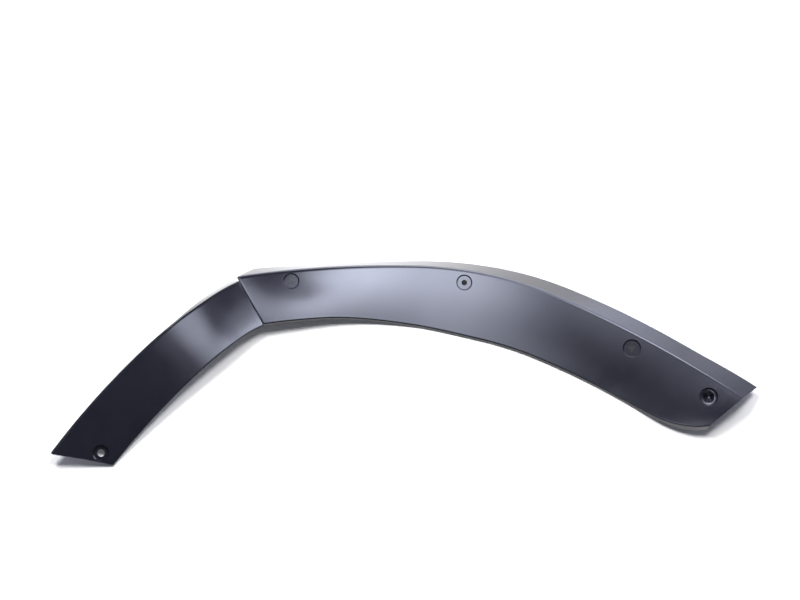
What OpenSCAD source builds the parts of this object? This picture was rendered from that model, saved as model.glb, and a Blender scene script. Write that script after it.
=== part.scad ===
// Rear mudguard: a one-piece moulded wheel arch guard in black plastic.
// It lies face up as it rests on a flat surface, flange behind and rim in front.
// X runs along the length, Y away from the wheel opening, Z up.
// The shell is a long rear panel and a short front panel that meet at a fold line.
// Each panel has a splayed flange behind, a soft crease, a crowned face and a rolled rim.
// FACETED: the shell is a polyhedron lofted through formula sections, since every
// panel bends in plan, twists and changes width at once.

/* [Shell] */
// Wall thickness of the moulding, mm
wall = 2.8; // [2.4:0.1:3.2]
// Outer radius of the crease between flange and face, mm
crease_r = 6; // [4.5:0.5:7.5]
// Rise of the face above a flat chord, mm
crown = 1.2; // [0:0.2:2.4]
// Outer radius of the rolled rim, mm
rim_r = 3.6; // [3.4:0.1:4.4]
// Length of the rear rim lip past the face edge, mm
rim_len = 3; // [2.4:0.2:5]
// Angle of the rim lip below level, degrees
rim_angle = 62; // [50:1:70]

/* [Rear panel plan] */
// Heading of the crease at the fold, degrees
rear_heading = 9.85; // [7:0.25:12]
// Length of the gentle bend after the fold, mm
rear_len_a = 226; // [205:1:245]
// Radius of the gentle bend, mm
rear_rad_a = 1231; // [1000:1:1500]
// Length of the main bend, mm
rear_len_b = 197.5; // [170:0.5:215]
// Radius of the main bend, mm
rear_rad_b = 460; // [420:1:520]
// Radius of the last, nearly straight bend, mm
rear_rad_c = 1498; // [1200:1:2000]
// Length of the rear crease from the fold to the tail cut, mm
rear_len = 682.5; // [665:0.5:700]
// Face width at the fold, mm
rear_w_fold = 62; // [58:0.5:66]
// Face width at the middle, mm
rear_w_mid = 81; // [76:0.5:85]
// Face width before the tail corner, mm
rear_w_tail = 78.5; // [74:0.5:82]
// Lean of the fold line, mm along per mm across
fold_lean = 0.38; // [0.34:0.01:0.42]
// Lean of the tail cut, mm along per mm across
tail_lean = 0.3; // [0.26:0.01:0.36]
// Face width left at the tail cut, mm
tail_end_w = 53; // [48:0.5:58]
// Length of the round tail corner along the rim, mm
corner_len = 76.6; // [66:0.2:86]
// How far the round corner follows its ellipse, as a share of the half axis
corner_turn = 0.83; // [0.7:0.01:0.9]

/* [Rear panel heights] */
// Crease height at the fold, mm
rear_top_fold = 31; // [28:0.5:34]
// Crease height along the middle, mm
rear_top_mid = 20; // [18:0.5:22]
// Crease height at the tail, mm
rear_top_tail = 19; // [17:0.5:21]
// Face edge height at the fold, mm
rear_edge_fold = 13; // [11:0.5:15]
// Face edge height at the tail, measured at full width, mm
rear_edge_tail = 10; // [6:0.5:12]
// Extra lip length at the tail corner, mm
tail_lip = 5.6; // [3:0.2:8]

/* [Front panel] */
// Heading of the front crease as it leaves the fold, degrees
front_heading = 207.1; // [205:0.1:209]
// Length of the tighter bend beside the fold, mm
front_len_a = 41; // [34:1:50]
// Radius of the tighter bend, mm
front_rad_a = 206; // [185:1:230]
// Radius of the rest of the front crease, mm
front_rad_b = 988; // [900:1:1200]
// Length of the front crease, mm
front_len = 317.4; // [305:0.2:330]
// Face width at the fold, mm
front_w_fold = 62.6; // [60:0.2:64]
// Face width at the free end, mm
front_w_end = 64.6; // [62:0.2:67]
// Lean of the free end cut, mm along per mm across
front_lean = 0.56; // [0.5:0.01:0.62]
// Crease height at the fold, mm
front_top_fold = 27.5; // [26:0.5:29]
// Crease height where the panel bends down, mm
front_top_ridge = 32.8; // [31:0.2:34]
// Crease height at the free end, mm
front_top_end = 13; // [12:0.5:15]
// Face edge height at the fold, mm
front_edge_fold = 12; // [11:0.5:13]
// Face edge height where the panel bends down, mm
front_edge_ridge = 18.5; // [17:0.5:20]
// Face edge height at the free end, mm
front_edge_end = -0.9; // [-1.2:0.1:0.5]
// Distance of the bend from the fold, mm
front_ridge_at = 82; // [70:1:95]
// Length over which the bend is rounded, mm
front_ridge_run = 60; // [40:1:80]
// Arching of the run beyond the bend, mm
front_bow = 1.3; // [0:0.1:2.5]
// Length of the front rim lip past the face edge, mm
front_lip = 1.6; // [1:0.2:3]

/* [Flange] */
// Depth of the rear flange, mm
flange_rear = 28; // [25:0.5:29]
// Depth of the front flange at the fold, mm
flange_front = 22; // [20:0.5:24]
// Depth of the front flange at the free end, mm
flange_end = 5; // [4:0.5:7]
// Splay of the rear flange from upright beside the fold, degrees
splay_fold = 28; // [24:1:32]
// Splay of the rear flange from upright at the tail, degrees
splay_tail = 57; // [50:1:60]
// Splay of the front flange from upright beside the fold, degrees
splay_front = 30; // [26:1:34]
// Splay of the front flange from upright at the free end, degrees
splay_end = 56; // [48:1:60]
// Length of the flange notch on the rear side of the fold, mm
notch_rear = 22; // [16:0.5:28]
// Length of the flange notch on the front side of the fold, mm
notch_front = 6.5; // [4:0.5:9]
// Depth left at the bottom of the notch, mm
notch_left = 1.6; // [1.4:0.1:2.4]

/* [Fixings] */
// Radius of the recessed seats beside the fold, the middle and the free end, mm
seat_r = 10.3; // [9.6:0.1:11]
// Radius of the two recessed seats by the tail, mm
seat_tail_r = 11.6; // [11:0.1:12.2]
// Depth of the seats below the face, mm
seat_depth = 2.6; // [1.8:0.1:3]
// Inward slope of the seat wall, mm
seat_slope = 1.5; // [1:0.1:2]
// Diameter of the four rear fixing holes, mm
hole_d = 7.2; // [6:0.1:8]
// Diameter of the fixing hole at the free end, mm
hole_end_d = 9.2; // [8:0.1:10]

/* [Hidden] */

// placing of the whole part, so that it rests on Z = 0 with X and Y centred
shift = [-8.58, 81.15, 3.98];
// plan points where the two creases start at the fold
rear_start = [-207.1, 21.3];
front_start = [-208.6, 15.7];
// the rear panel starts this far before its plan point
fold_over = 2;
// width of the small step between the panels, seen from above
fold_run = 0.4;
// lengths over which widths and heights change
width_from = 100;
width_run = 230;
tail_from = 340;
tail_run = 170;
top_run = 300;
top_tail_from = 550;
edge_from = 20;
edge_run = 230;
edge_tail_from = 540;
corner_to = rear_len - tail_lean * tail_end_w;
corner_from = corner_to - corner_len;
lip_run = 60;
front_width_run = 200;
splay_from = 120;
splay_run = 420;
splay_start_extra = 8;
splay_start_run = 100;
splay_tail_extra = 7;
splay_tail_run = 90;
flange_front_from = 10;
flange_front_run = 90;
splay_front_from = 20;
splay_front_run = 110;
// where along the front edge its height comes down to the table
front_edge_len = front_len - 38;

// fixing centres as [along, across] from each crease; the last ones keep their place from the ends
rear_fixings = [[66.5, 13.8], [294, 15.2], [rear_len - 151.5, 18.1], [rear_len - 37, 23.4]];
front_fixing = [front_len - 38.2, 44.7];
tail_fixings_from = rear_len - 180;

rear_steps = 38;
corner_steps = 12;
front_steps = 22;
crease_steps = 6;
face_steps = 8;
rim_steps = 4;
outer_count = crease_steps + face_steps + rim_steps + 3;
ring_count = 2 * outer_count;
seat_fn = 48;

function clamp01(t) = min(max(t, 0), 1);
function ease(t) = let (c = clamp01(t)) c * c * (3 - 2 * c);
function mix(a, b, t) = a + (b - a) * t;

// a point and heading moved along an arc; a negative radius turns clockwise
function walk(p, len, rad) =
    let (turn = len / rad * 180 / PI)
    [p[0] + rad * (sin(p[2] + turn) - sin(p[2])),
     p[1] - rad * (cos(p[2] + turn) - cos(p[2])),
     p[2] + turn];

rear_a = [rear_start[0], rear_start[1], rear_heading];
rear_b = walk(rear_a, rear_len_a, -rear_rad_a);
rear_c = walk(rear_b, rear_len_b, -rear_rad_b);
front_a = [front_start[0], front_start[1], front_heading];
front_b = walk(front_a, front_len_a, front_rad_a);

// the fold is a straight line in plan; the front panel ends just short of it
fold_point = rear_start - fold_over * [cos(rear_heading), sin(rear_heading)];
fold_way = [fold_lean * cos(rear_heading) + sin(rear_heading),
            fold_lean * sin(rear_heading) - cos(rear_heading)] / norm([fold_lean, 1]);
fold_side = [-fold_way[1], fold_way[0]];
front_way = [cos(front_heading), sin(front_heading)];
front_side = [-front_way[1], front_way[0]];
front_from = -(fold_run + fold_side * (front_start - fold_point)) / (fold_side * front_way);
front_skew = -(fold_side * front_side) / (fold_side * front_way);

function rear_line(s) =
    s < rear_len_a ? walk(rear_a, s, -rear_rad_a)
    : s < rear_len_a + rear_len_b ? walk(rear_b, s - rear_len_a, -rear_rad_b)
    : walk(rear_c, s - rear_len_a - rear_len_b, -rear_rad_c);
function front_line(s) =
    s < front_len_a ? walk(front_a, s, front_rad_a)
    : walk(front_b, s - front_len_a, front_rad_b);

// a section is [crease height, face edge height, full width, width, flange depth,
// splay, lip length]
function rear_full_w(s) =
    mix(rear_w_fold, rear_w_mid, ease((s - width_from) / width_run))
    - (rear_w_mid - rear_w_tail) * ease((s - tail_from) / tail_run);
function corner_cut(s) =
    let (t = corner_turn * clamp01((s - corner_from) / corner_len))
    (rear_w_tail - tail_end_w) * (1 - sqrt(1 - t * t)) / (1 - sqrt(1 - corner_turn ^ 2));
function rear_section(s) =
    let (full = rear_full_w(s))
    [mix(rear_top_fold, rear_top_mid, ease(s / top_run))
         - (rear_top_mid - rear_top_tail) * ease((s - top_tail_from) / (rear_len - top_tail_from)),
     rear_edge_fold * (1 - ease((s - edge_from) / edge_run))
         + rear_edge_tail * ease((s - edge_tail_from) / (rear_len - edge_tail_from)),
     full,
     full - corner_cut(s),
     mix(notch_left, flange_rear, clamp01((s + fold_over) / notch_rear)),
     mix(splay_fold, splay_tail, ease((s - splay_from) / splay_run))
         + splay_start_extra * (1 - ease(s / splay_start_run))
         + splay_tail_extra * ease((s - rear_len + splay_tail_run) / splay_tail_run),
     rim_len + tail_lip * ease((s - corner_from) / lip_run)];
// height along a run that rises to a rounded ridge and falls, a little arched, to its end
function ridge_height(s, from, ridge, to, end) =
    let (half = front_ridge_run / 2,
         rise = (ridge - from) / front_ridge_at,
         fall = (to - ridge) / (end - front_ridge_at),
         past = s - front_ridge_at,
         w = max(past, 0) / (end - front_ridge_at))
    (past < -half ? ridge + rise * past
     : past > half ? ridge + fall * past
     : ridge + rise * past + (fall - rise) * (past + half) ^ 2 / (4 * half))
    + front_bow * 4 * w * (1 - w) * ease(past / front_ridge_run);
function front_section(s) =
    let (full = mix(front_w_fold, front_w_end, ease(s / front_width_run)))
    [ridge_height(s, front_top_fold, front_top_ridge, front_top_end, front_len),
     ridge_height(s, front_edge_fold, front_edge_ridge, front_edge_end, front_edge_len),
     full,
     full,
     mix(notch_left, mix(flange_front, flange_end, ease((s - flange_front_from) / flange_front_run)),
         clamp01((s - front_from) / notch_front)),
     mix(splay_front, splay_end, ease((s - splay_front_from) / splay_front_run)),
     front_lip];

// a point on a round corner: corner point, directions before and after, radius
function round_at(p, d0, d1, rad, t) =
    let (len = rad * tan(abs(d0 - d1) / 2),
         from = p - len * [cos(d0), sin(d0)],
         mid = from + rad * [sin(d0), -cos(d0)],
         d = mix(d0, d1, t))
    [mid + rad * [-sin(d), cos(d)], [-sin(d), cos(d)]];

// outer profile point j as [[across, height], outward normal]
function outer_at(sec, j) =
    let (up = 90 - sec[5],
         fall = -atan((sec[0] - sec[1]) / sec[2]),
         top = [0, sec[0]],
         edge = [sec[3], sec[0] - (sec[0] - sec[1]) * sec[3] / sec[2]],
         bend_r = min(crease_r, 0.9 * sec[4]),
         before_face = crease_steps + 1,
         before_rim = before_face + face_steps)
    j == 0 ? [top - sec[4] * [cos(up), sin(up)], [-sin(up), cos(up)]]
    : j <= before_face ? round_at(top, up, fall, bend_r, (j - 1) / crease_steps)
    : j < before_rim ?
        let (a = round_at(top, up, fall, bend_r, 1)[0],
             b = round_at(edge, fall, -rim_angle, rim_r, 0)[0],
             t = (j - before_face) / face_steps)
        [mix(a, b, t) + crown * 4 * t * (1 - t) * [-sin(fall), cos(fall)],
         [-sin(fall), cos(fall)]]
    : j <= before_rim + rim_steps ?
        round_at(edge, fall, -rim_angle, rim_r, (j - before_rim) / rim_steps)
    : [edge + sec[6] * [cos(rim_angle), -sin(rim_angle)], [sin(rim_angle), cos(rim_angle)]];

// ring point k: the outer profile, then the inner one back again
function ring_at(sec, k) =
    k < outer_count ? outer_at(sec, k)[0]
    : let (o = outer_at(sec, ring_count - 1 - k)) o[0] - wall * o[1];

// the panels end on leaning lines, so the place along depends on the place across
function rear_s(u, across) =
    mix(fold_lean * max(across, 0) - fold_over, rear_len - tail_lean * across, u);
function front_s(u, across) =
    mix(front_len - front_lean * max(across, 0), front_from + front_skew * max(across, 0), u);

function on_rear(s, q, z) =
    let (p = rear_line(s)) [p[0] + q * sin(p[2]), p[1] - q * cos(p[2]), z];
function on_front(s, q, z) =
    let (p = front_line(s)) [p[0] - q * sin(p[2]), p[1] + q * cos(p[2]), z];

function rear_point(u, k) =
    let (near = ring_at(rear_section(u * rear_len), k),
         s = rear_s(u, near[0]),
         q = ring_at(rear_section(s), k))
    on_rear(s, q[0], q[1]);
function front_point(u, k) =
    let (near = ring_at(front_section((1 - u) * front_len), k),
         s = front_s(u, near[0]),
         q = ring_at(front_section(s), k))
    on_front(s, q[0], q[1]);

// stations along each panel: even, with one at the end of each notch and at the round corner
front_notch_u = 1 - notch_front / (front_len - front_from);
rear_notch_u = notch_rear / (rear_len + fold_over);
corner_u = (corner_from - fold_lean * rear_w_tail) / (corner_to - fold_lean * rear_w_tail);
front_us = [for (i = [0:front_steps]) front_notch_u * i / front_steps, 1];
rear_us = [0, for (i = [0:rear_steps]) mix(rear_notch_u, corner_u, i / rear_steps),
           for (i = [1:corner_steps]) mix(corner_u, 1, i / corner_steps)];

module shell() {
    rings = [
        for (u = front_us) [for (k = [0:ring_count - 1]) front_point(u, k)],
        for (u = rear_us) [for (k = [0:ring_count - 1]) rear_point(u, k)]
    ];
    last = len(rings) - 1;
    points = [for (r = rings) each r];
    // each end cap is a strip between the outer and the inner profile
    function cap(base, flip) = [
        for (j = [0:outer_count - 2])
            let (a = base + j, b = base + j + 1,
                 c = base + ring_count - 2 - j, d = base + ring_count - 1 - j)
            each (flip ? [[a, c, b], [a, d, c]] : [[a, b, c], [a, c, d]])
    ];
    sides = [
        for (i = [0:last - 1]) for (k = [0:ring_count - 1])
            let (n = (k + 1) % ring_count,
                 a = i * ring_count + k, b = i * ring_count + n,
                 c = a + ring_count, d = b + ring_count)
            each [[a, c, b], [b, c, d]]
    ];
    polyhedron(points, concat(sides, cap(0, false), cap(last * ring_count, true)), convexity = 8);
}

// point on the face, without its crown, and the frame that stands on it
function rear_face(s, q) =
    let (sec = rear_section(s)) on_rear(s, q, sec[0] - (sec[0] - sec[1]) * q / sec[2]);
function front_face(s, q) =
    let (sec = front_section(s)) on_front(s, q, sec[0] - (sec[0] - sec[1]) * q / sec[2]);
function unit(v) = v / norm(v);
function stand(p, along, across) =
    let (x = unit(along), z0 = unit(cross(along, across)),
         z = z0[2] < 0 ? -z0 : z0, y = cross(z, x))
    [[x[0], y[0], z[0], p[0]], [x[1], y[1], z[1], p[1]], [x[2], y[2], z[2], p[2]], [0, 0, 0, 1]];
function rear_frame(f) =
    stand(rear_face(f[0], f[1]),
          rear_face(f[0] + 1, f[1]) - rear_face(f[0] - 1, f[1]),
          rear_face(f[0], f[1] + 1) - rear_face(f[0], f[1] - 1));
function front_frame(f) =
    stand(front_face(f[0], f[1]),
          front_face(f[0] + 1, f[1]) - front_face(f[0] - 1, f[1]),
          front_face(f[0], f[1] + 1) - front_face(f[0], f[1] - 1));

fixings = concat(
    [for (f = rear_fixings)
        [rear_frame(f), f[0] > tail_fixings_from ? seat_tail_r : seat_r, hole_d]],
    [[front_frame(front_fixing), seat_r, hole_end_d]]);

// the cup behind the face that carries a seat
module seat_cup(rad) {
    translate([0, 0, -seat_depth - wall])
        cylinder(r = rad - seat_slope + wall, h = seat_depth + wall * 0.4, $fn = seat_fn);
}

// the recess in front of the seat
module seat_recess(rad) {
    rotate_extrude($fn = seat_fn)
        polygon([[0, -seat_depth], [rad - seat_slope, -seat_depth],
                 [rad, 0], [rad, 2 * wall], [0, 2 * wall]]);
}

module mudguard() {
    color([0.05, 0.052, 0.06])
    translate(shift)
    difference() {
        union() {
            shell();
            for (f = fixings) multmatrix(f[0]) seat_cup(f[1]);
        }
        for (f = fixings) multmatrix(f[0]) {
            seat_recess(f[1]);
            translate([0, 0, -seat_depth - 2 * wall])
                cylinder(d = f[2], h = seat_depth + 3 * wall, $fn = seat_fn);
        }
    }
}

mudguard();
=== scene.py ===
from math import atan, cos, degrees, pi, radians, sin, sqrt, tan

import bmesh
import bpy
from mathutils import Matrix, Vector


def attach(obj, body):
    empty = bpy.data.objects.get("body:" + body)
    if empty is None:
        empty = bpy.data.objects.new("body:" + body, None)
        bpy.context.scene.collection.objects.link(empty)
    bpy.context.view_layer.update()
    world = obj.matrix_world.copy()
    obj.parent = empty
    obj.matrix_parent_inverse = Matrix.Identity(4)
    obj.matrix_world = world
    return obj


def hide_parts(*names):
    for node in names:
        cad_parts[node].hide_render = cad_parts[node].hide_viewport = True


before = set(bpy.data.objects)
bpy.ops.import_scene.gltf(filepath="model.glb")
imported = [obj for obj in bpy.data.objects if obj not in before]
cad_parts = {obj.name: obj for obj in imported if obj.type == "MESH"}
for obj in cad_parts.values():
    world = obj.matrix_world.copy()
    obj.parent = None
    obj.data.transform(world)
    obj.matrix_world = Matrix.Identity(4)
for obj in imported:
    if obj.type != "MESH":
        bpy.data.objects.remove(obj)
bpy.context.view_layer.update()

MM = 0.001

# dimensions of the moulding in mm and degrees, the same as the part's source
WALL = 2.8
CREASE_R = 6
CROWN = 1.2
RIM_R = 3.6
RIM_LEN = 3
RIM_ANGLE = 62
REAR_HEADING = 9.85
REAR_ARCS = ((226, -1231), (197.5, -460), (1000, -1498))
REAR_LEN = 682.5
REAR_W_FOLD, REAR_W_MID, REAR_W_TAIL = 62, 81, 78.5
FOLD_LEAN = 0.38
TAIL_LEAN = 0.3
TAIL_END_W = 53
CORNER_LEN = 76.6
CORNER_TURN = 0.83
REAR_TOP_FOLD, REAR_TOP_MID, REAR_TOP_TAIL = 31, 20, 19
REAR_EDGE_FOLD, REAR_EDGE_TAIL = 13, 10
TAIL_LIP = 5.6
FRONT_HEADING = 207.1
FRONT_ARCS = ((41, 206), (1000, 988))
FRONT_LEN = 317.4
FRONT_W_FOLD, FRONT_W_END = 62.6, 64.6
FRONT_LEAN = 0.56
FRONT_LIP = 1.6
FRONT_TOP_FOLD, FRONT_TOP_RIDGE, FRONT_TOP_END = 27.5, 32.8, 13
FRONT_EDGE_FOLD, FRONT_EDGE_RIDGE, FRONT_EDGE_END = 12, 18.5, -0.9
FRONT_EDGE_LEN = FRONT_LEN - 38
FRONT_RIDGE_AT, FRONT_RIDGE_RUN, FRONT_BOW = 82, 60, 1.3
FLANGE_REAR, FLANGE_FRONT, FLANGE_END = 28, 22, 5
SPLAY_FOLD, SPLAY_TAIL, SPLAY_FRONT, SPLAY_END = 28, 57, 30, 56
NOTCH_REAR, NOTCH_FRONT, NOTCH_LEFT = 22, 6.5, 1.6
SEAT_R, SEAT_TAIL_R, SEAT_DEPTH, SEAT_SLOPE = 10.3, 11.6, 2.6, 1.5
HOLE_D, HOLE_END_D = 7.2, 9.2
SHIFT = (-8.58, 81.15, 3.98)
REAR_START = (-207.1, 21.3)
FRONT_START = (-208.6, 15.7)
FOLD_OVER = 2
FOLD_RUN = 0.4
FOLD_ROUND = 1.2

# where along a panel each size starts to change, and over what length, in mm
WIDTH_FROM, WIDTH_RUN = 100, 230
TAIL_FROM, TAIL_RUN = 340, 170
TOP_RUN, TOP_TAIL_FROM = 300, 550
EDGE_FROM, EDGE_RUN, EDGE_TAIL_FROM = 20, 230, 540
CORNER_TO = REAR_LEN - TAIL_LEAN * TAIL_END_W
CORNER_FROM = CORNER_TO - CORNER_LEN
LIP_RUN = 60
FRONT_WIDTH_RUN = 200
SPLAY_FROM, SPLAY_RUN = 120, 420
SPLAY_START_EXTRA, SPLAY_START_RUN = 8, 100
SPLAY_TAIL_EXTRA, SPLAY_TAIL_RUN = 7, 90
FLANGE_FRONT_FROM, FLANGE_FRONT_RUN = 10, 90
SPLAY_FRONT_FROM, SPLAY_FRONT_RUN = 20, 110

# fixings as (along the panel, in from the crease)
REAR_FIXINGS = ((66.5, 13.8), (294, 15.2), (REAR_LEN - 151.5, 18.1), (REAR_LEN - 37, 23.4))
FRONT_FIXING = (FRONT_LEN - 38.2, 44.7)
TAIL_FIXINGS_FROM = REAR_LEN - 180
CUP_TOP = 0.6 * WALL

# steps of the fine skin, its largest bend as a share of the flange, and its smooth angle
FRONT_STEPS = 110
REAR_STEPS = 240
NOTCH_STEPS = 8
ROUND_STEPS = 6
CREASE_STEPS = 14
FACE_STEPS = 26
RIM_STEPS = 9
OUTER_COUNT = CREASE_STEPS + FACE_STEPS + RIM_STEPS + 3
RING_COUNT = 2 * OUTER_COUNT
SEAT_SIDES = 96
BEND_SHARE = 0.9
SMOOTH_ANGLE = 28


def clamp01(t):
    return min(max(t, 0), 1)


def ease(t):
    t = clamp01(t)
    return t * t * (3 - 2 * t)


def mix(a, b, t):
    return a + (b - a) * t


def sind(a):
    return sin(radians(a))


def cosd(a):
    return cos(radians(a))


def walk(start, heading, arcs, s):
    """Plan point and heading after s mm along a chain of arcs."""
    x, y = start
    for number, (length, rad) in enumerate(arcs):
        last = number == len(arcs) - 1
        step = s if last else min(s, length)
        after = heading + degrees(step / rad)
        x += rad * (sind(after) - sind(heading))
        y -= rad * (cosd(after) - cosd(heading))
        heading = after
        s -= step
        if s <= 0:
            break
    return x, y, heading


def fold_line():
    """Where the front panel's end lies along its crease, and how that slants across."""
    way = (FOLD_LEAN * cosd(REAR_HEADING) + sind(REAR_HEADING),
           FOLD_LEAN * sind(REAR_HEADING) - cosd(REAR_HEADING))
    size = sqrt(1 + FOLD_LEAN * FOLD_LEAN)
    side = (-way[1] / size, way[0] / size)
    reach = (FRONT_START[0] - REAR_START[0] + FOLD_OVER * cosd(REAR_HEADING),
             FRONT_START[1] - REAR_START[1] + FOLD_OVER * sind(REAR_HEADING))
    along = side[0] * cosd(FRONT_HEADING) + side[1] * sind(FRONT_HEADING)
    across = -side[0] * sind(FRONT_HEADING) + side[1] * cosd(FRONT_HEADING)
    return -(FOLD_RUN + side[0] * reach[0] + side[1] * reach[1]) / along, -across / along


FRONT_FROM, FRONT_SKEW = fold_line()


def rear_section(s):
    """Crease height, edge height, full width, width, flange depth, splay, lip length."""
    full = mix(REAR_W_FOLD, REAR_W_MID, ease((s - WIDTH_FROM) / WIDTH_RUN))
    full -= (REAR_W_MID - REAR_W_TAIL) * ease((s - TAIL_FROM) / TAIL_RUN)
    t = CORNER_TURN * clamp01((s - CORNER_FROM) / CORNER_LEN)
    drop = (REAR_W_TAIL - TAIL_END_W) * (1 - sqrt(1 - t * t)) / (1 - sqrt(1 - CORNER_TURN ** 2))
    top = mix(REAR_TOP_FOLD, REAR_TOP_MID, ease(s / TOP_RUN))
    top -= (REAR_TOP_MID - REAR_TOP_TAIL) * ease((s - TOP_TAIL_FROM) / (REAR_LEN - TOP_TAIL_FROM))
    edge = REAR_EDGE_FOLD * (1 - ease((s - EDGE_FROM) / EDGE_RUN))
    edge += REAR_EDGE_TAIL * ease((s - EDGE_TAIL_FROM) / (REAR_LEN - EDGE_TAIL_FROM))
    splay = mix(SPLAY_FOLD, SPLAY_TAIL, ease((s - SPLAY_FROM) / SPLAY_RUN))
    splay += SPLAY_START_EXTRA * (1 - ease(s / SPLAY_START_RUN))
    splay += SPLAY_TAIL_EXTRA * ease((s - REAR_LEN + SPLAY_TAIL_RUN) / SPLAY_TAIL_RUN)
    return (top, edge, full, full - drop,
            mix(NOTCH_LEFT, FLANGE_REAR, clamp01((s + FOLD_OVER) / NOTCH_REAR)), splay,
            RIM_LEN + TAIL_LIP * ease((s - CORNER_FROM) / LIP_RUN))


def ridge_height(s, start, ridge, stop, end):
    """Height along a run that rises to a rounded ridge and falls to its end."""
    half = FRONT_RIDGE_RUN / 2
    rise = (ridge - start) / FRONT_RIDGE_AT
    fall = (stop - ridge) / (end - FRONT_RIDGE_AT)
    past = s - FRONT_RIDGE_AT
    w = max(past, 0) / (end - FRONT_RIDGE_AT)
    height = ridge + (fall if past > half else rise) * past
    if abs(past) <= half:
        height = ridge + rise * past + (fall - rise) * (past + half) ** 2 / (4 * half)
    return height + FRONT_BOW * 4 * w * (1 - w) * ease(past / FRONT_RIDGE_RUN)


def front_section(s):
    """The same seven values for the front panel."""
    full = mix(FRONT_W_FOLD, FRONT_W_END, ease(s / FRONT_WIDTH_RUN))
    top = ridge_height(s, FRONT_TOP_FOLD, FRONT_TOP_RIDGE, FRONT_TOP_END, FRONT_LEN)
    edge = ridge_height(s, FRONT_EDGE_FOLD, FRONT_EDGE_RIDGE, FRONT_EDGE_END, FRONT_EDGE_LEN)
    depth = mix(FLANGE_FRONT, FLANGE_END, ease((s - FLANGE_FRONT_FROM) / FLANGE_FRONT_RUN))
    splay = mix(SPLAY_FRONT, SPLAY_END, ease((s - SPLAY_FRONT_FROM) / SPLAY_FRONT_RUN))
    return (top, edge, full, full,
            mix(NOTCH_LEFT, depth, clamp01((s - FRONT_FROM) / NOTCH_FRONT)), splay, FRONT_LIP)


def round_at(p, d0, d1, rad, t):
    """Point and normal part way round a filleted corner."""
    reach = rad * tan(radians(abs(d0 - d1) / 2))
    mid = (p[0] - reach * cosd(d0) + rad * sind(d0), p[1] - reach * sind(d0) - rad * cosd(d0))
    d = mix(d0, d1, t)
    return (mid[0] - rad * sind(d), mid[1] + rad * cosd(d)), (-sind(d), cosd(d))


def outer_at(sec, j):
    """Outer profile point j and its outward normal, as (across, height) pairs."""
    up = 90 - sec[5]
    fall = -degrees(atan((sec[0] - sec[1]) / sec[2]))
    top = (0, sec[0])
    edge = (sec[3], sec[0] - (sec[0] - sec[1]) * sec[3] / sec[2])
    bend = min(CREASE_R, BEND_SHARE * sec[4])
    before_face = CREASE_STEPS + 1
    before_rim = before_face + FACE_STEPS
    if j == 0:
        return (-sec[4] * cosd(up), sec[0] - sec[4] * sind(up)), (-sind(up), cosd(up))
    if j <= before_face:
        return round_at(top, up, fall, bend, (j - 1) / CREASE_STEPS)
    if j < before_rim:
        a = round_at(top, up, fall, bend, 1)[0]
        b = round_at(edge, fall, -RIM_ANGLE, RIM_R, 0)[0]
        t = (j - before_face) / FACE_STEPS
        rise = CROWN * 4 * t * (1 - t)
        return ((mix(a[0], b[0], t) - rise * sind(fall), mix(a[1], b[1], t) + rise * cosd(fall)),
                (-sind(fall), cosd(fall)))
    if j <= before_rim + RIM_STEPS:
        return round_at(edge, fall, -RIM_ANGLE, RIM_R, (j - before_rim) / RIM_STEPS)
    return ((edge[0] + sec[6] * cosd(RIM_ANGLE), edge[1] - sec[6] * sind(RIM_ANGLE)),
            (sind(RIM_ANGLE), cosd(RIM_ANGLE)))


def ring_at(sec, k):
    """Ring point k: the outer profile, then the inner one back again."""
    if k < OUTER_COUNT:
        return outer_at(sec, k)[0]
    point, normal = outer_at(sec, RING_COUNT - 1 - k)
    return point[0] - WALL * normal[0], point[1] - WALL * normal[1]


def on_rear(s, q, z):
    """World point at s mm along the rear panel, q mm in from its crease and z mm up."""
    x, y, h = walk(REAR_START, REAR_HEADING, REAR_ARCS, s)
    return Vector((x + q * sind(h) + SHIFT[0], y - q * cosd(h) + SHIFT[1], z + SHIFT[2])) * MM


def on_front(s, q, z):
    """World point at s mm along the front panel, q mm in from its crease and z mm up."""
    x, y, h = walk(FRONT_START, FRONT_HEADING, FRONT_ARCS, s)
    return Vector((x - q * sind(h) + SHIFT[0], y + q * cosd(h) + SHIFT[1], z + SHIFT[2])) * MM


def rear_point(u, k):
    """Skin point at share u of the rear panel, between its slanted ends, and ring point k."""
    near = ring_at(rear_section(u * REAR_LEN), k)[0]
    start = FOLD_LEAN * max(near, 0) - FOLD_OVER
    s = mix(start, REAR_LEN - TAIL_LEAN * near, u)
    across, height = ring_at(rear_section(s), k)
    if k < OUTER_COUNT:
        inside = FOLD_ROUND - min(s - start, FOLD_ROUND)
        height -= FOLD_ROUND - sqrt(FOLD_ROUND ** 2 - inside ** 2)
    return on_rear(s, across, height)


def front_point(u, k):
    """Skin point at share u of the front panel, from its free end to the fold."""
    near = ring_at(front_section((1 - u) * FRONT_LEN), k)[0]
    s = mix(FRONT_LEN - FRONT_LEAN * max(near, 0), FRONT_FROM + FRONT_SKEW * max(near, 0), u)
    return on_front(s, *ring_at(front_section(s), k))


def new_object(name, data):
    obj = bpy.data.objects.new(name, data)
    bpy.context.scene.collection.objects.link(obj)
    return obj


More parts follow.
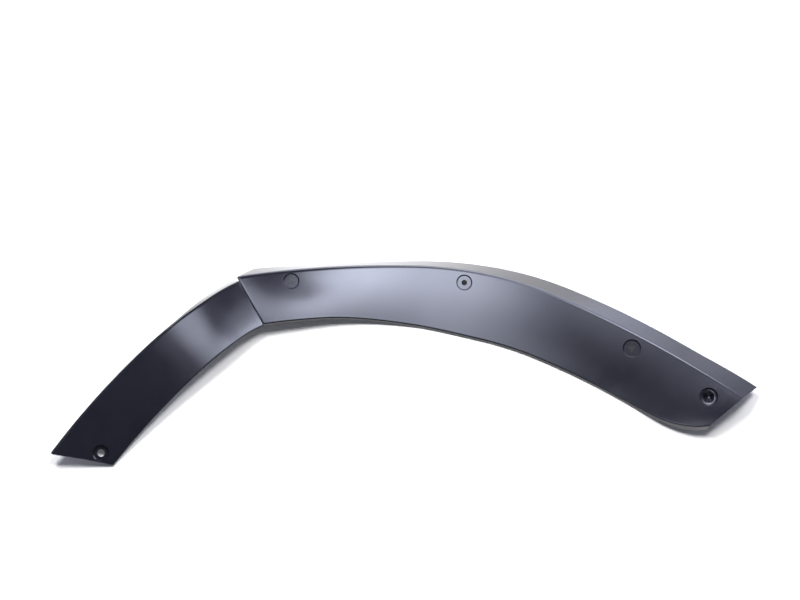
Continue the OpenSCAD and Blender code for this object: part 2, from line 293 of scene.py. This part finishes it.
def build_shell():
    """The whole skin as one closed mesh, lofted through fine sections."""
    notch = 1 - NOTCH_FRONT / (FRONT_LEN - FRONT_FROM)
    stations = [notch * i / FRONT_STEPS for i in range(FRONT_STEPS + 1)]
    stations += [mix(notch, 1, i / NOTCH_STEPS) for i in range(1, NOTCH_STEPS + 1)]
    rings = [[front_point(u, k) for k in range(RING_COUNT)] for u in stations]
    span = REAR_LEN + FOLD_OVER
    notch = NOTCH_REAR / span
    stations = [FOLD_ROUND * (1 - cosd(90 * i / ROUND_STEPS)) / span for i in range(ROUND_STEPS)]
    stations += [mix(FOLD_ROUND / span, notch, i / NOTCH_STEPS) for i in range(NOTCH_STEPS)]
    stations += [mix(notch, 1, i / REAR_STEPS) for i in range(REAR_STEPS + 1)]
    rings += [[rear_point(u, k) for k in range(RING_COUNT)] for u in stations]
    faces = []
    for i in range(len(rings) - 1):
        for k in range(RING_COUNT):
            n = (k + 1) % RING_COUNT
            a, b = i * RING_COUNT + k, i * RING_COUNT + n
            faces.append((a, b, b + RING_COUNT, a + RING_COUNT))
    last = (len(rings) - 1) * RING_COUNT
    for j in range(OUTER_COUNT - 1):
        quad = (j, RING_COUNT - 1 - j, RING_COUNT - 2 - j, j + 1)
        faces.append(quad)
        faces.append(tuple(last + v for v in reversed(quad)))
    mesh = bpy.data.meshes.new("guard_shell")
    mesh.from_pydata([p for ring in rings for p in ring], [], faces)
    mesh.validate()
    work = bmesh.new()
    work.from_mesh(mesh)
    bmesh.ops.recalc_face_normals(work, faces=work.faces)
    work.to_mesh(mesh)
    work.free()
    return new_object("guard_shell", mesh)


def face_frame(place, section, s, q):
    """Matrix that stands on the face: Z out of it, X along the panel."""
    def at(s1, q1):
        sec = section(s1)
        return place(s1, q1, sec[0] - (sec[0] - sec[1]) * q1 / sec[2])
    along = (at(s + 1, q) - at(s - 1, q)).normalized()
    out = along.cross(at(s, q + 1) - at(s, q - 1)).normalized()
    if out.z < 0:
        out = -out
    side = out.cross(along)
    grid = Matrix((along, side, out)).transposed().to_4x4()
    return Matrix.Translation(at(s, q)) @ grid


def turned(name, profile, matrix):
    """A closed solid of revolution from (radius, height) pairs in mm, on its own Z."""
    work = bmesh.new()
    rings = []
    for radius, height in profile:
        if radius == 0:
            rings.append([work.verts.new((0, 0, height * MM))])
        else:
            rings.append([work.verts.new((radius * MM * cos(2 * pi * i / SEAT_SIDES),
                                          radius * MM * sin(2 * pi * i / SEAT_SIDES),
                                          height * MM)) for i in range(SEAT_SIDES)])
    for low, high in zip(rings, rings[1:]):
        for i in range(SEAT_SIDES):
            n = (i + 1) % SEAT_SIDES
            if len(low) == 1:
                work.faces.new((low[0], high[n], high[i]))
            elif len(high) == 1:
                work.faces.new((low[i], low[n], high[0]))
            else:
                work.faces.new((low[i], low[n], high[n], high[i]))
    bmesh.ops.recalc_face_normals(work, faces=work.faces)
    mesh = bpy.data.meshes.new(name)
    work.to_mesh(mesh)
    work.free()
    obj = new_object(name, mesh)
    obj.matrix_world = matrix
    return obj


def boolean(target, tool, operation):
    """Applies one boolean to the target's mesh and deletes the tool."""
    bpy.context.view_layer.update()
    mod = target.modifiers.new("cut", "BOOLEAN")
    mod.operation = operation
    mod.object = tool
    mod.solver = "EXACT"
    depsgraph = bpy.context.evaluated_depsgraph_get()
    mesh = bpy.data.meshes.new_from_object(target.evaluated_get(depsgraph))
    target.modifiers.clear()
    target.data = mesh
    bpy.data.objects.remove(tool)


def fixings():
    """Matrix on the face, seat radius and hole radius of each fixing."""
    for s, q in REAR_FIXINGS:
        rad = SEAT_TAIL_R if s > TAIL_FIXINGS_FROM else SEAT_R
        yield face_frame(on_rear, rear_section, s, q), rad, HOLE_D / 2
    yield face_frame(on_front, front_section, *FRONT_FIXING), SEAT_R, HOLE_END_D / 2


def build_guard():
    """The shell with a cup behind, a recess and a drilled hole at each fixing."""
    shell = build_shell()
    for matrix, rad, hole in fixings():
        floor_r = rad - SEAT_SLOPE
        low = -SEAT_DEPTH - WALL
        cup = turned("cup", ((0, low), (floor_r + WALL, low), (floor_r + WALL, -CUP_TOP),
                             (0, -CUP_TOP)), matrix)
        boolean(shell, cup, "UNION")
        recess = turned("recess", ((0, -SEAT_DEPTH), (floor_r, -SEAT_DEPTH), (rad, 0),
                                   (rad, 2 * WALL), (0, 2 * WALL)), matrix)
        boolean(shell, recess, "DIFFERENCE")
        drill = turned("drill", ((0, 2 * low), (hole, 2 * low), (hole, WALL), (0, WALL)), matrix)
        boolean(shell, drill, "DIFFERENCE")
    shell.name = "guard_skin"
    shell.data.name = "guard_skin"
    bpy.context.view_layer.objects.active = shell
    shell.select_set(True)
    bpy.ops.object.shade_smooth_by_angle(angle=radians(SMOOTH_ANGLE))
    return shell


def nodes_of(owner):
    """Emptied node tree of a material or world."""
    owner.use_nodes = True
    owner.node_tree.nodes.clear()
    return owner.node_tree.nodes, owner.node_tree.links


def set_inputs(node, values):
    for name, value in values:
        node.inputs[name].default_value = value


def mapped(nodes, links, value, low, high, to_low, to_high, smooth=False):
    """Map Range node from low..high to to_low..to_high."""
    span = nodes.new("ShaderNodeMapRange")
    if smooth:
        span.interpolation_type = "SMOOTHSTEP"
    set_inputs(span, (("From Min", low), ("From Max", high),
                      ("To Min", to_low), ("To Max", to_high)))
    links.new(value, span.inputs["Value"])
    return span.outputs["Result"]


def joined(nodes, links, operation, a, b):
    """Math node on two values, each a socket or a number."""
    node = nodes.new("ShaderNodeMath")
    node.operation = operation
    for socket, value in zip(node.inputs, (a, b)):
        if isinstance(value, float):
            socket.default_value = value
        else:
            links.new(value, socket)
    return node.outputs["Value"]


def length_of(nodes, links, vector):
    node = nodes.new("ShaderNodeVectorMath")
    node.operation = "LENGTH"
    links.new(vector, node.inputs[0])
    return node.outputs["Value"]


# black plastic: two close tones, an uneven sheen, a fine grain and a slow waviness;
# each noise as scale, detail, the range taken from it and the range that it becomes
PLASTIC_IOR = 1.5
COAT_ROUGHNESS = 0.15
SHEEN_NOISE = (45, 5, 0.3, 0.7, 0.2, 0.25)
TONE_NOISE = (18, 3, 0.3, 0.7, 0, 1)
TONE_DARK = (0.0055, 0.0056, 0.0105, 1)
TONE_LIGHT = (0.0095, 0.0096, 0.0165, 1)
GRAIN_NOISE, GRAIN_STRENGTH, GRAIN_DEPTH = (2600, 2, 0, 1, 0, 1), 0.05, 0.0002
WAVE_NOISE, WAVE_STRENGTH, WAVE_DEPTH = (22, 2, 0, 1, 0, 1), 0.12, 0.0008


def plastic_material():
    """Satin black moulded plastic under a smoother skin."""
    mat = bpy.data.materials.new("guard_plastic")
    nodes, links = nodes_of(mat)
    out = nodes.new("ShaderNodeOutputMaterial")
    shader = nodes.new("ShaderNodeBsdfPrincipled")
    links.new(shader.outputs["BSDF"], out.inputs["Surface"])
    set_inputs(shader, (("IOR", PLASTIC_IOR), ("Coat Weight", 1.0),
                        ("Coat Roughness", COAT_ROUGHNESS), ("Coat IOR", PLASTIC_IOR)))
    place = nodes.new("ShaderNodeTexCoord")

    def noise(scale, detail, *span):
        tex = nodes.new("ShaderNodeTexNoise")
        set_inputs(tex, (("Scale", scale), ("Detail", detail)))
        links.new(place.outputs["Object"], tex.inputs["Vector"])
        return mapped(nodes, links, tex.outputs["Fac"], *span)

    def bump(height, strength, depth):
        node = nodes.new("ShaderNodeBump")
        set_inputs(node, (("Strength", strength), ("Distance", depth)))
        links.new(height, node.inputs["Height"])
        return node

    links.new(noise(*SHEEN_NOISE), shader.inputs["Roughness"])
    tone = nodes.new("ShaderNodeMix")
    tone.data_type = "RGBA"
    set_inputs(tone, (("A", TONE_DARK), ("B", TONE_LIGHT)))
    links.new(noise(*TONE_NOISE), tone.inputs["Factor"])
    links.new(tone.outputs["Result"], shader.inputs["Base Color"])
    grain = bump(noise(*GRAIN_NOISE), GRAIN_STRENGTH, GRAIN_DEPTH)
    wave = bump(noise(*WAVE_NOISE), WAVE_STRENGTH, WAVE_DEPTH)
    links.new(grain.outputs["Normal"], wave.inputs["Normal"])
    links.new(wave.outputs["Normal"], shader.inputs["Normal"])
    links.new(wave.outputs["Normal"], shader.inputs["Coat Normal"])
    return mat


guard = build_guard()
guard.data.materials.clear()
guard.data.materials.append(plastic_material())
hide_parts("mudguard")
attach(guard, "root")

# camera: the photograph's frame is 800 pixels wide, 1.3 mm each on the table
IMAGE_WIDTH = 800
PIXEL_MM = 1.3
CAMERA_MM = 1800
CAMERA_ELEVATION = 72
SENSOR_MM = 36
NEAR_CLIP = 0.05
TARGET = Vector(SHIFT) * MM

camera_data = bpy.data.cameras.new("camera")
camera_data.sensor_width = SENSOR_MM
camera_data.lens = SENSOR_MM * CAMERA_MM / PIXEL_MM / IMAGE_WIDTH
camera_data.clip_start = NEAR_CLIP
camera = new_object("camera", camera_data)
camera.location = TARGET + Vector((0, -cosd(CAMERA_ELEVATION), sind(CAMERA_ELEVATION))) \
    * CAMERA_MM * MM
camera.rotation_euler = (radians(90 - CAMERA_ELEVATION), 0, 0)
bpy.context.scene.camera = camera


def rectangle(name, low, high):
    """Flat sheet between two corners, on its own zero height."""
    mesh = bpy.data.meshes.new(name)
    mesh.from_pydata([(low[0], low[1], 0), (high[0], low[1], 0),
                      (high[0], high[1], 0), (low[0], high[1], 0)], [], [(0, 1, 2, 3)])
    return new_object(name, mesh)


# floor: pale and matte, lifted a little for the camera and in reflections,
# and to white for the camera far from the part
FLOOR_HALF = 6
FLOOR_DROP = 0.0004
FLOOR_COLOUR = (0.92, 0.92, 0.93, 1)
NEAR_LIFT = 0.03
FAR_FROM, FAR_TO = 0.8, 2.0
WHITE = (1, 1, 1, 1)


def build_floor():
    floor = rectangle("floor", (-FLOOR_HALF, -FLOOR_HALF), (FLOOR_HALF, FLOOR_HALF))
    floor.location.z = -FLOOR_DROP
    mat = bpy.data.materials.new("floor_white")
    nodes, links = nodes_of(mat)
    matte = nodes.new("ShaderNodeBsdfDiffuse")
    matte.inputs["Color"].default_value = FLOOR_COLOUR
    ray = nodes.new("ShaderNodeLightPath").outputs
    seen = joined(nodes, links, "MAXIMUM", ray["Is Camera Ray"], ray["Is Glossy Ray"])
    near = joined(nodes, links, "MULTIPLY", seen, NEAR_LIFT)
    place = nodes.new("ShaderNodeTexCoord")
    away = length_of(nodes, links, place.outputs["Object"])
    far = mapped(nodes, links, away, FAR_FROM, FAR_TO, 0, 1, smooth=True)
    far = joined(nodes, links, "MULTIPLY", ray["Is Camera Ray"], far)
    glow = nodes.new("ShaderNodeEmission")
    glow.inputs["Color"].default_value = WHITE
    links.new(joined(nodes, links, "ADD", near, far), glow.inputs["Strength"])
    both = nodes.new("ShaderNodeAddShader")
    links.new(matte.outputs["BSDF"], both.inputs[0])
    links.new(glow.outputs["Emission"], both.inputs[1])
    out = nodes.new("ShaderNodeOutputMaterial")
    links.new(both.outputs["Shader"], out.inputs["Surface"])
    floor.data.materials.append(mat)


# tint and strength shared by the world and the overhead panel, both a little blue
COOL = (0.775, 0.82, 1.0, 1)
GAIN = 1.22

# world: dim all round, white to the camera, with two soft glows low behind the part
# as azimuth, elevation, reach in degrees and strength
SKY_BASE = 0.1
SKY_GLOWS = ((10.4, 9.2, 35, 4.3), (57, 17, 26, 1.5))


def towards(azimuth, elevation):
    """Unit vector; azimuth 0 is behind the part, 90 to its right."""
    return Vector((sind(azimuth) * cosd(elevation), cosd(azimuth) * cosd(elevation),
                   sind(elevation)))


def build_world():
    world = bpy.data.worlds.new("studio")
    bpy.context.scene.world = world
    nodes, links = nodes_of(world)
    place = nodes.new("ShaderNodeTexCoord")
    level = SKY_BASE * GAIN
    for azimuth, elevation, reach, strength in SKY_GLOWS:
        apart = nodes.new("ShaderNodeVectorMath")
        apart.operation = "DISTANCE"
        apart.inputs[1].default_value = towards(azimuth, elevation)
        links.new(place.outputs["Generated"], apart.inputs[0])
        glow = mapped(nodes, links, apart.outputs["Value"], 0, radians(reach),
                      strength * GAIN, 0, smooth=True)
        level = joined(nodes, links, "ADD", glow, level)
    sky = nodes.new("ShaderNodeBackground")
    sky.inputs["Color"].default_value = COOL
    links.new(level, sky.inputs["Strength"])
    white = nodes.new("ShaderNodeBackground")
    white.inputs["Color"].default_value = WHITE
    ray = nodes.new("ShaderNodeLightPath")
    either = nodes.new("ShaderNodeMixShader")
    links.new(ray.outputs["Is Camera Ray"], either.inputs["Fac"])
    links.new(sky.outputs["Background"], either.inputs[1])
    links.new(white.outputs["Background"], either.inputs[2])
    out = nodes.new("ShaderNodeOutputWorld")
    links.new(either.outputs["Shader"], out.inputs["Surface"])


# overhead panel, seen only in reflections, in metres from the target: soft pools of light
# as centre X and Y, half sizes, turn in degrees, strength and share of plain middle
PANEL_HEIGHT = 0.3
PANEL_LOW = (-0.55, -0.5)
PANEL_HIGH = (0.9, 0.66)
PANEL_POOLS = ((0.036, 0.038, 0.223, 0.159, -75.7, 5.63, 0.16),
               (-0.254, -0.029, 0.240, 0.071, -51, 3.37, 0.27),
               (-0.064, -0.053, 0.166, 0.116, 67.6, 5.48, 0.14),
               (0.284, -0.278, 0.175, 0.091, 26.1, 2.6, 0.3),
               (0.370, 0.229, 0.472, 0.398, 28.1, 2.36, 0.3),
               (0.001, -0.169, 0.248, 0.128, 0.7, 2.74, 0.01),
               (0.388, 0.031, 0.2, 0.06, -30.5, 7, 0.3))
# a dim patch over the fold: its ellipse, share of plain middle and share of light left
PANEL_GAP = (-0.138, -0.024, 0.044, 0.103, 51.1)
GAP_PLAIN, GAP_LEFT = 0.68, 0.22


def build_panel():
    panel = rectangle("overhead_panel", PANEL_LOW, PANEL_HIGH)
    panel.location = TARGET + Vector((0, 0, PANEL_HEIGHT))
    panel.visible_camera = False
    panel.visible_shadow = False
    panel.visible_diffuse = False
    mat = bpy.data.materials.new("panel_light")
    nodes, links = nodes_of(mat)
    place = nodes.new("ShaderNodeTexCoord")

    def from_middle(x, y, half_x, half_y, turn):
        """Distance from an ellipse's middle, 1 at its rim."""
        fit = nodes.new("ShaderNodeMapping")
        fit.vector_type = "TEXTURE"
        set_inputs(fit, (("Location", (x, y, 0)), ("Rotation", (0, 0, radians(turn))),
                         ("Scale", (half_x, half_y, 1))))
        links.new(place.outputs["Object"], fit.inputs["Vector"])
        return length_of(nodes, links, fit.outputs["Vector"])

    level = 0.0
    for *ellipse, strength, plain in PANEL_POOLS:
        pool = mapped(nodes, links, from_middle(*ellipse), plain, 1, strength * GAIN, 0,
                      smooth=True)
        level = joined(nodes, links, "ADD", pool, level)
    gap = mapped(nodes, links, from_middle(*PANEL_GAP), GAP_PLAIN, 1, GAP_LEFT, 1, smooth=True)
    glow = nodes.new("ShaderNodeEmission")
    glow.inputs["Color"].default_value = COOL
    links.new(joined(nodes, links, "MULTIPLY", level, gap), glow.inputs["Strength"])
    clear = nodes.new("ShaderNodeBsdfTransparent")
    both = nodes.new("ShaderNodeAddShader")
    links.new(glow.outputs["Emission"], both.inputs[0])
    links.new(clear.outputs["BSDF"], both.inputs[1])
    out = nodes.new("ShaderNodeOutputMaterial")
    links.new(both.outputs["Shader"], out.inputs["Surface"])
    panel.data.materials.append(mat)


# soft lamps behind the part, which cast its shadow towards the viewer:
# name, azimuth, elevation, width and height in metres, watts
LAMP_DISTANCE = 3.0
LAMP_COLOUR = (1, 0.995, 0.98)
LAMPS = (("key_left", -30, 50, 0.9, 0.9, 95), ("key_right", 32, 55, 0.9, 1.2, 70))


def build_lamps():
    for name, azimuth, elevation, width, height, watts in LAMPS:
        data = bpy.data.lights.new(name, "AREA")
        data.shape = "RECTANGLE"
        data.size, data.size_y = width, height
        data.energy = watts
        data.color = LAMP_COLOUR
        lamp = new_object(name, data)
        way = towards(azimuth, elevation)
        lamp.location = TARGET + way * LAMP_DISTANCE
        lamp.rotation_euler = way.to_track_quat("Z", "Y").to_euler()
        lamp.visible_glossy = False


build_floor()
build_world()
build_panel()
build_lamps()
bpy.context.scene.view_settings.view_transform = "Standard"
